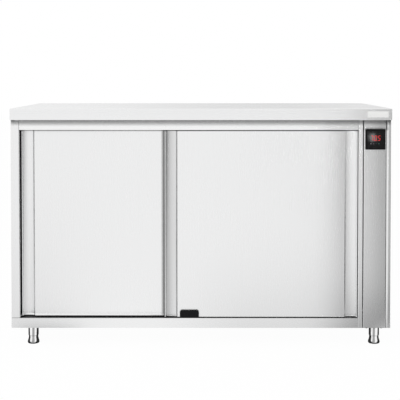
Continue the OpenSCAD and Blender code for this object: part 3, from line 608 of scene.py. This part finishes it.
# %% [markdown]
# ## Polished steel feet and tubes
# The feet and the tubes over them are turned and polished. On a mirror that smooth the look
# comes from what it shows, so the material adds fine turning rings, a faint cloudiness and a
# thin painted contact shade where they meet the floor and the cabinet's underside, and the
# floor's painted pattern supplies the dark outlines. The feet's bell shape would mirror the
# ceiling and the near floor as bright rings, so the sheet bow's Keep takes most of the
# upward lean out of the normal over the whole piece.

# %% Polished steel
RINGS = (3, 3, 1400)
UPRIGHT_NORMAL = bowed(end=-2.0, keep=(1.0, 1.0, 0.2))

polished, tree, shader, place = finish("polished steel", Metallic=1.0)
rings = noise(tree, vectors(tree, "MULTIPLY", place, RINGS), 1.0, 2.0)
cloud = noise(tree, place, 60.0, 2.0)
upright = placed(tree, sheet_bow, Place=place, **UPRIGHT_NORMAL)["Normal"]
drives(tree, shader, Base_Color=tinted(tree, (0.92, 0.92, 0.92), shaded(tree, 0.006, 3.0)),
       Roughness=maths(tree, "MULTIPLY_ADD", cloud, 0.06, 0.05),
       Normal=bumped(tree, rings, 0.000004, upright))
gives(polished, "leg_tubes", "foot_front_left", "foot_front_right", "foot_rear_left",
      "foot_rear_right")

# %% [markdown]
# ## Zinc plate
# Brackets, ribs, pegs and the fan are galvanised. Hot zinc freezes into flat crystals, each
# with its own tilt, which show as patches of slightly different grey: a Voronoi pattern
# with one random value per cell, a centimetre or so across. A slight noise bends the
# borders, which would otherwise be straight.

# %% Zinc
zinc, tree, shader, place = finish("zinc plate", Metallic=1.0)
bent = joined(tree, "ShaderNodeTexNoise", {"Vector": place, "Scale": 40.0, "Detail": 2.0})
bent = vectors(tree, "SCALE", bent.outputs["Color"], Scale=0.008)
bent = vectors(tree, "ADD", place, bent)
crystal = joined(tree, "ShaderNodeTexVoronoi", {"Vector": bent, "Scale": 110.0})
crystal = parts(tree, crystal.outputs["Color"])
tilt = maths(tree, "MULTIPLY_ADD", crystal["X"], 0.22, 0.86)
# Painted contact shade darkens the zinc where other parts close it in.
drives(tree, shader, Base_Color=tinted(tree, (0.66, 0.68, 0.70), tilt, shaded(tree, 0.03, 1.2)),
       Roughness=maths(tree, "MULTIPLY_ADD", crystal["Y"], 0.16, 0.32),
       Normal=bumped(tree, crystal["Z"], 0.00003))
gives(zinc, "worktop_ribs", "left_door_hangers", "left_door_axles", "right_door_hangers",
      "right_door_axles", "shelf_pegs", "fan_box", "fan_motor", "fan_shaft", "fan_impeller",
      "temperature_probe", "panel_screws", "leg_sockets")

# %% [markdown]
# ## Extruded track
# The doors hang from an aluminium extrusion. A die leaves fine lines along the whole
# length, and the wheels have polished a path, so the lines are stretched noise along X.

# %% Aluminium
aluminium, tree, shader, place = finish("aluminium track", Metallic=1.0)
grain = placed(tree, brushed_grain, Place=place, Stretch=(0.6, 900.0, 900.0), Streaks=0.16,
               Smear=0.05)
drives(tree, shader, Base_Color=tinted(tree, (0.78, 0.79, 0.80), grain["Tone"]),
       Roughness=maths(tree, "ADD", grain["Roughness"], 0.36),
       Normal=bumped(tree, grain["Height"], 0.00002))
gives(aluminium, "top_track")

# %% [markdown]
# ## Mineral wool
# The insulation boards are pressed rock fibres: a matt ochre felt with paler and darker
# tufts. Noise stretched two ways and added gives crossed fibres, and deep bump makes it fuzzy.

# %% Mineral wool
wool, tree, shader, place = finish("mineral wool", Roughness=1.0, Specular_IOR_Level=0.1)
lying, crossing = (noise(tree, vectors(tree, "MULTIPLY", place, stretch), 1.0, 4.0,
                         Distortion=1.2) for stretch in ((40, 260, 700), (700, 60, 240)))
fibre = maths(tree, "ADD", product(tree, lying, 0.5), product(tree, crossing, 0.5))
tuft = maths(tree, "MULTIPLY_ADD", noise(tree, place, 25.0, 3.0), 0.5, 0.72)
felt = mixed(tree, ramp(tree, fibre, 0.35, 0.65), (0.30, 0.25, 0.14, 1),
             (0.62, 0.55, 0.36, 1), "RGBA")
drives(tree, shader, Base_Color=tinted(tree, felt, tuft), Normal=bumped(tree, fibre, 0.0012))
gives(wool, "worktop_insulation", "insulation_left", "insulation_back", "insulation_top",
      "insulation_bottom", "left_door_core", "right_door_core")

# %% [markdown]
# ## Moulded plastics and rubber
# Black, white and cream mouldings differ in colour and gloss, but share one texture: the
# fine pebbled grain that is etched into a mould. One function makes all of them, from a
# colour, a roughness and how deep the grain is.

# %% Moulded plastic
def moulded(name, colour, roughness, grain_scale, grain_depth, mottle=0.12, **fixed):
    """A moulding: noise at grain_scale per metre pebbles the surface to grain_depth metres,
    a slower noise mottles its colour and gloss, and a painted contact shade darkens it where
    other parts close it in."""
    material, tree, shader, place = finish(name, **fixed)
    pebble = noise(tree, place, grain_scale, 2.0)
    slow = noise(tree, place, 22.0, 3.0)
    mottled = maths(tree, "MULTIPLY_ADD", slow, mottle, 1.0 - mottle / 2)
    drives(tree, shader, Base_Color=tinted(tree, colour, mottled, shaded(tree, 0.012, 1.2)),
           Roughness=maths(tree, "MULTIPLY_ADD", slow, 0.12, roughness - 0.06),
           Normal=bumped(tree, pebble, grain_depth))
    return material


gives(moulded("black plastic", (0.006, 0.006, 0.007), 0.42, 900.0, 0.00006,
              Specular_IOR_Level=0.10), "door_guide", "controller_housing", "cable_gland")
gives(moulded("display frame", (0.004, 0.004, 0.0045), 0.30, 700.0, 0.00001,
              Specular_IOR_Level=0.10), "controller_bezel")
gives(moulded("cream plastic", (0.78, 0.73, 0.60), 0.45, 800.0, 0.00005),
      "safety_thermostat", "terminal_block")
gives(moulded("nylon", (0.80, 0.79, 0.75), 0.38, 500.0, 0.00003), "left_door_roller_a",
      "left_door_roller_b", "right_door_roller_a", "right_door_roller_b")
gives(moulded("rubber", (0.020, 0.020, 0.021), 0.75, 1400.0, 0.00010, mottle=0.4),
      "track_buffers")

# %% [markdown]
# ## Display glass
# The display is a smoked window over its digits: nearly black, and polished. A faint film
# of finger grease, as patches of roughness, keeps its reflection from looking like cut paper.

# %% Display glass
glass, tree, shader, place = finish("smoked window", Specular_IOR_Level=0.15)
film = noise(tree, place, 70.0, 3.0, Distortion=0.8)
smoke = maths(tree, "MULTIPLY_ADD", film, 0.8, 0.6)
drives(tree, shader, Base_Color=tinted(tree, (0.003, 0.0028, 0.003), smoke),
       Roughness=maths(tree, "MULTIPLY_ADD", film, 0.04, 0.02))
gives(glass, "controller_window")

# %% [markdown]
# ## Heater sheath
# The tubular heater is stainless that has been red hot, which leaves straw, brown and blue
# bands of oxide. A slow noise stands for how hot each place became, and a Color Ramp turns
# the heat into the oxide's colour.

# %% Heater sheath
OXIDE = {0.30: (0.42, 0.40, 0.38, 1), 0.45: (0.46, 0.34, 0.20, 1), 0.56: (0.30, 0.19, 0.22, 1),
         0.68: (0.20, 0.24, 0.36, 1)}

sheath, tree, shader, place = finish("heater sheath", Metallic=1.0)
heat = noise(tree, place, 7.0, 4.0, Distortion=0.5)
oxide = joined(tree, "ShaderNodeValToRGB", {"Fac": heat})
for stop, colour in OXIDE.items():
    oxide.color_ramp.elements.new(stop).color = colour
drives(tree, shader, Base_Color=oxide.outputs["Color"],
       Roughness=maths(tree, "MULTIPLY_ADD", heat, 0.25, 0.22))
gives(sheath, "heater_element")

# %% [markdown]
# ## Wire sleeve
# The wires run in a braided sleeve. Two diagonal waves that lean opposite ways are the two
# sets of strands, and the higher one wins where they cross.

# %% Braided sleeve
sleeve, tree, shader, place = finish("wire sleeve", Specular_IOR_Level=0.3)
strands = [joined(tree, "ShaderNodeTexWave", {
    "Vector": vectors(tree, "MULTIPLY", place, lean), "Scale": 170.0},
    bands_direction="DIAGONAL").outputs["Fac"] for lean in ((1, 1, 1), (1, 1, -1))]
braid = maths(tree, "MAXIMUM", *strands)
weave = mixed(tree, braid, (0.012, 0.012, 0.013, 1), (0.075, 0.072, 0.070, 1), "RGBA")
drives(tree, shader, Base_Color=weave, Roughness=maths(tree, "MULTIPLY_ADD", braid, -0.2, 0.8),
       Normal=bumped(tree, braid, 0.0004))
gives(sleeve, "wiring_loom")

# %% [markdown]
# ## Earth stud
# The earth stud is brass, with a little dull tarnish where nobody touches it: patches of
# noise that are both browner and rougher.

# %% Brass
brass, tree, shader, place = finish("brass", Metallic=1.0)
tarnish = noise(tree, place, 160.0, 4.0)
gold = mixed(tree, ramp(tree, tarnish, 0.40, 0.70), (0.80, 0.58, 0.26, 1),
             (0.50, 0.33, 0.14, 1), "RGBA")
drives(tree, shader, Base_Color=gold, Roughness=maths(tree, "MULTIPLY_ADD", tarnish, 0.4, 0.10))
gives(brass, "earth_stud")

# %% [markdown]
# ## Adding a piece
# The display's figures, its lamps and the plain plate on the apron are too fine for the
# CAD. Each is worked out as arrays of corners and faces, and `piece` turns the arrays into
# an object at the origin that rides on the cabinet.

# %% Piece helper
def piece(name, corners, faces, material, body="cabinet", smooth=False):
    """A mesh object at the origin from an array of corners and a list of face arrays,
    which rides on the body and takes the given material."""
    mesh = bpy.data.meshes.new(name)
    mesh.from_pydata(np.asarray(corners, float).tolist(), [],
                     [list(map(int, face)) for face in faces])
    mesh.validate()
    mesh.polygons.foreach_set("use_smooth", [smooth] * len(mesh.polygons))
    mesh.materials.append(material)
    obj = bpy.data.objects.new(name, mesh)
    scene.collection.objects.link(obj)
    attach(obj, body)
    print(name, "has", len(mesh.polygons), "faces")
    return obj


def around(count):
    """Equal steps once round a circle, in radians."""
    return np.arange(count) * 2 * math.pi / count


def band_faces(low, high):
    """The quads between two rows of corner numbers, each row closed round the outline."""
    quads = np.stack([low, high, np.roll(high, -1, axis=-1), np.roll(low, -1, axis=-1)], axis=-1)
    return quads.reshape(-1, 4)


def standing_plates(outlines, front, thickness):
    """Flat plates that face the viewer. Outlines is an array (plates, corners, 2) of X and Z,
    counted anticlockwise as the viewer sees them. Every outline is placed at the front Y and
    again one thickness behind, and quads join the two rims."""
    count, sides, _ = outlines.shape
    corners = np.empty((count, 2, sides, 3))
    corners[..., 0::2] = outlines[:, None]
    corners[:, 0, :, 1] = front
    corners[:, 1, :, 1] = front + thickness
    index = np.arange(count * 2 * sides).reshape(count, 2, sides)
    rims = band_faces(index[:, 0], index[:, 1])
    return corners.reshape(-1, 3), [*index[:, 0], *index[:, 1, ::-1], *rims]


# %% [markdown]
# ## Seven-segment figures
# A display figure is seven hexagonal bars around two squares, and a figure is just the
# list of bars that are lit. They could be typed as text, but no font has these bars. Here
# one pointed bar is scaled, turned and moved to its places as one array, and then the
# whole row is slanted by adding a share of the height to X.

# %% Figures
LIT = {"0": "abcdef", "5": "acdfg", "7": "abc"}
BARS = {"a": (0, 1, 0), "b": (0.5, 0.5, 1), "c": (0.5, -0.5, 1), "d": (0, -1, 0),
        "e": (-0.5, -0.5, 1), "f": (-0.5, 0.5, 1), "g": (0, 0, 0)}
END_GAP = 0.12  # of a stroke


def figure_bars(text, centre, pitch, width, height, stroke, slant):
    """The lit bars of each figure, as an array (bars, 6, 2). A bar is a hexagon: two points
    on its axis at the ends, and four corners half a stroke in and half a stroke out.
    Upright bars swap the two axes. Each bar is moved to its place in the figure, whose
    squares are width by half the height, and X is moved by the slant times the height."""
    rows = [(i, *BARS[bar]) for i, figure in enumerate(text) for bar in LIT[figure]]
    column, across, up, upright = np.array(rows, float).T
    run = np.where(upright > 0, height / 2, width)[:, None] / 2 - stroke * END_GAP
    end = np.array([-1, -1, -1, 1, 1, 1.0])
    side = np.array([-1, 0, 1, 1, 0, -1.0])
    lengthwise = end * (run - (side != 0) * stroke / 2)
    crosswise = side * np.full_like(run, stroke / 2)
    tall = upright[:, None] > 0
    middle = across * width + (column - (len(text) - 1) / 2) * pitch
    x = np.where(tall, crosswise, lengthwise) + middle[:, None]
    z = np.where(tall, -lengthwise, crosswise) + (up * height / 2)[:, None]
    outline = np.stack([x + slant * z + centre[0], z + centre[1]], axis=-1)
    area = np.cross(outline, np.roll(outline, -1, axis=1)).sum(axis=1)
    return np.where(area[:, None, None] > 0, outline, outline[:, ::-1])


def point_dot(place, radius, sides=10):
    """A round dot as one outline: the circle's cosine and sine at equal steps."""
    turn = around(sides)
    return np.stack([place[0] + radius * np.cos(turn), place[1] + radius * np.sin(turn)],
                    axis=-1)[None]


# %% [markdown]
# ## Lit figures
# The figures glow red from within, so the colour is an emission, with a faint noise that
# makes some places brighter, as on a worn display. The bars are a tenth of a millimetre
# thick, and their backs lie just inside the glass's front, so that they are whole solids
# and not loose paper.

# %% Lit figures
window_low, window_high = map(np.array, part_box("controller_window"))
glass_front = float(window_low[1])
print("display window in metres:", window_low, window_high)

lit_red, tree, shader, place = finish("lit figures", Roughness=0.35, Emission_Strength=1.0)
cells = noise(tree, place, 350.0, 1.0)
bright = maths(tree, "MULTIPLY_ADD", cells, 0.5, 0.75)
drives(tree, shader, Emission_Color=tinted(tree, (0.90, 0.035, 0.035), bright),
       Base_Color=tinted(tree, (0.20, 0.01, 0.01), cells))

FIGURES = (0.6412, 0.7706)
POINT = (FIGURES[0] + 0.0045, FIGURES[1] - 0.0095)
LIT_FRONT, LIT_THICKNESS = glass_front - 0.00008, 0.00010
bars, faces = standing_plates(
    figure_bars("705", FIGURES, pitch=0.0135, width=0.0076, height=0.0172, stroke=0.0015,
                slant=math.tan(math.radians(10))), LIT_FRONT, LIT_THICKNESS)
dots, dot_faces = standing_plates(point_dot(POINT, 0.0009), LIT_FRONT, LIT_THICKNESS)
piece("display_figures", np.vstack([bars, dots]),
      [*faces, *(face + len(bars) for face in dot_faces)], lit_red)

# %% [markdown]
# ## Status lamps
# Under the figures sit four tiny lamps in the glass's front. Each is a shallow dome: rings
# of a cosine profile around its own centre. The four share one mesh, and a colour attribute
# says how each one glimmers.

# %% Status lamps
def domes(centres, radius, rise, front, rings=4, sides=14):
    """Shallow domes that face the viewer, as arrays (domes, rings, sides, 3). Ring r of n
    lies at radius · sin(t) from the centre and stands out by rise · cos(t), with t going
    from a quarter turn at the rim to nearly nothing at the pole, which one corner closes."""
    t = np.linspace(math.pi / 2, 0, rings + 1)[:-1, None]
    turn = around(sides)[None]
    ring = np.stack([radius * np.sin(t) * np.cos(turn), front - rise * np.cos(t) + 0 * turn,
                     radius * np.sin(t) * np.sin(turn)], axis=-1).reshape(-1, 3)
    shape = np.vstack([ring, [[0, front - rise, 0.0]]])
    offsets = np.array([[x, 0, z] for x, z in centres])
    corners = (offsets[:, None] + shape).reshape(-1, 3)
    index = np.arange(rings * sides).reshape(rings, sides)
    turned = np.roll(index, -1, axis=1)
    quads = np.stack([index[:-1], turned[:-1], turned[1:], index[1:]], axis=-1).reshape(-1, 4)
    caps = np.stack([index[-1], turned[-1], np.full(sides, rings * sides)], axis=-1)
    back = index[0, ::-1][None]
    step = len(shape)
    return corners, [face + step * k for k in range(len(centres))
                     for face in (*quads, *caps, *back)]


LAMP_ROW = [(x, 0.7503) for x in (0.6248, 0.6344, 0.6443, 0.6540)]
GLIMMER = [(0.230, 0.200, 0.230), (0.130, 0.080, 0.120), (0.010, 0.030, 0.026),
           (0.030, 0.140, 0.110)]
LAMP_RADIUS, LAMP_RISE = 0.0016, 0.00012

lamp_glow, tree, shader, place = finish("status lamps", Roughness=0.30, Emission_Strength=1.0)
hue = joined(tree, "ShaderNodeAttribute", attribute_name="glimmer").outputs["Color"]
grain = noise(tree, place, 900.0, 1.0)
bright = maths(tree, "MULTIPLY_ADD", grain, 0.4, 0.8)
drives(tree, shader, Emission_Color=tinted(tree, hue, bright),
       Base_Color=tinted(tree, (0.05, 0.05, 0.05), grain))
corners, faces = domes(LAMP_ROW, LAMP_RADIUS, LAMP_RISE, glass_front)
row = piece("display_lamps", corners, faces, lamp_glow, smooth=True)
each = len(corners) // len(LAMP_ROW)
colours = np.column_stack([np.repeat(np.array(GLIMMER), each, axis=0), np.ones(len(corners))])
row.data.color_attributes.new("glimmer", "FLOAT_COLOR", "POINT").data.foreach_set(
    "color", colours.ravel())

# %% [markdown]
# ## Blank plate on the apron
# A thin blank plate of white enamel sits at the apron's right end. Its outline is a
# rectangle whose corners are quarter circles, and its front has a slightly smaller
# outline, so the rim catches the light.

# %% Blank plate
def rounded_outline(centre, size, radius, steps=8):
    """A rectangle with quarter-circle corners, anticlockwise, as an array (corners, 2): the
    turn runs once round in four equal parts, each about its own corner's centre."""
    turn = (np.arange(4)[:, None] * math.pi / 2 + np.linspace(0, math.pi / 2, steps)[None])
    sign = np.array([(1, 1), (-1, 1), (-1, -1), (1, -1)])
    middle = np.asarray(centre) + sign * (np.asarray(size) / 2 - radius)
    ring = np.stack([np.cos(turn), np.sin(turn)], axis=-1)
    return (middle[:, None] + radius * ring).reshape(-1, 2)


PLATE_CENTRE, PLATE_SIZE, PLATE_CORNER = (0.6478, 0.8588), (0.0770, 0.0225), 0.0025
LEVELS = [(0.0000, 0.00000), (0.0000, -0.00002), (0.0004, -0.00004)]  # inset, and Y from the apron

apron_front = float(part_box("worktop")[0][1])
loops = []
for inset, stand in LEVELS:
    flat = rounded_outline(PLATE_CENTRE, np.array(PLATE_SIZE) - 2 * inset, PLATE_CORNER - inset)
    loops.append(np.insert(flat, 1, apron_front + stand, axis=1))
corners = np.vstack(loops)
index = np.arange(len(corners)).reshape(len(LEVELS), -1)
enamel = moulded("white enamel", (0.80, 0.80, 0.79), 0.35, 300.0, 0.00001, mottle=0.03)
piece("apron_plate", corners, [*band_faces(index[1:], index[:-1]), index[-1], index[0, ::-1]],
      enamel)
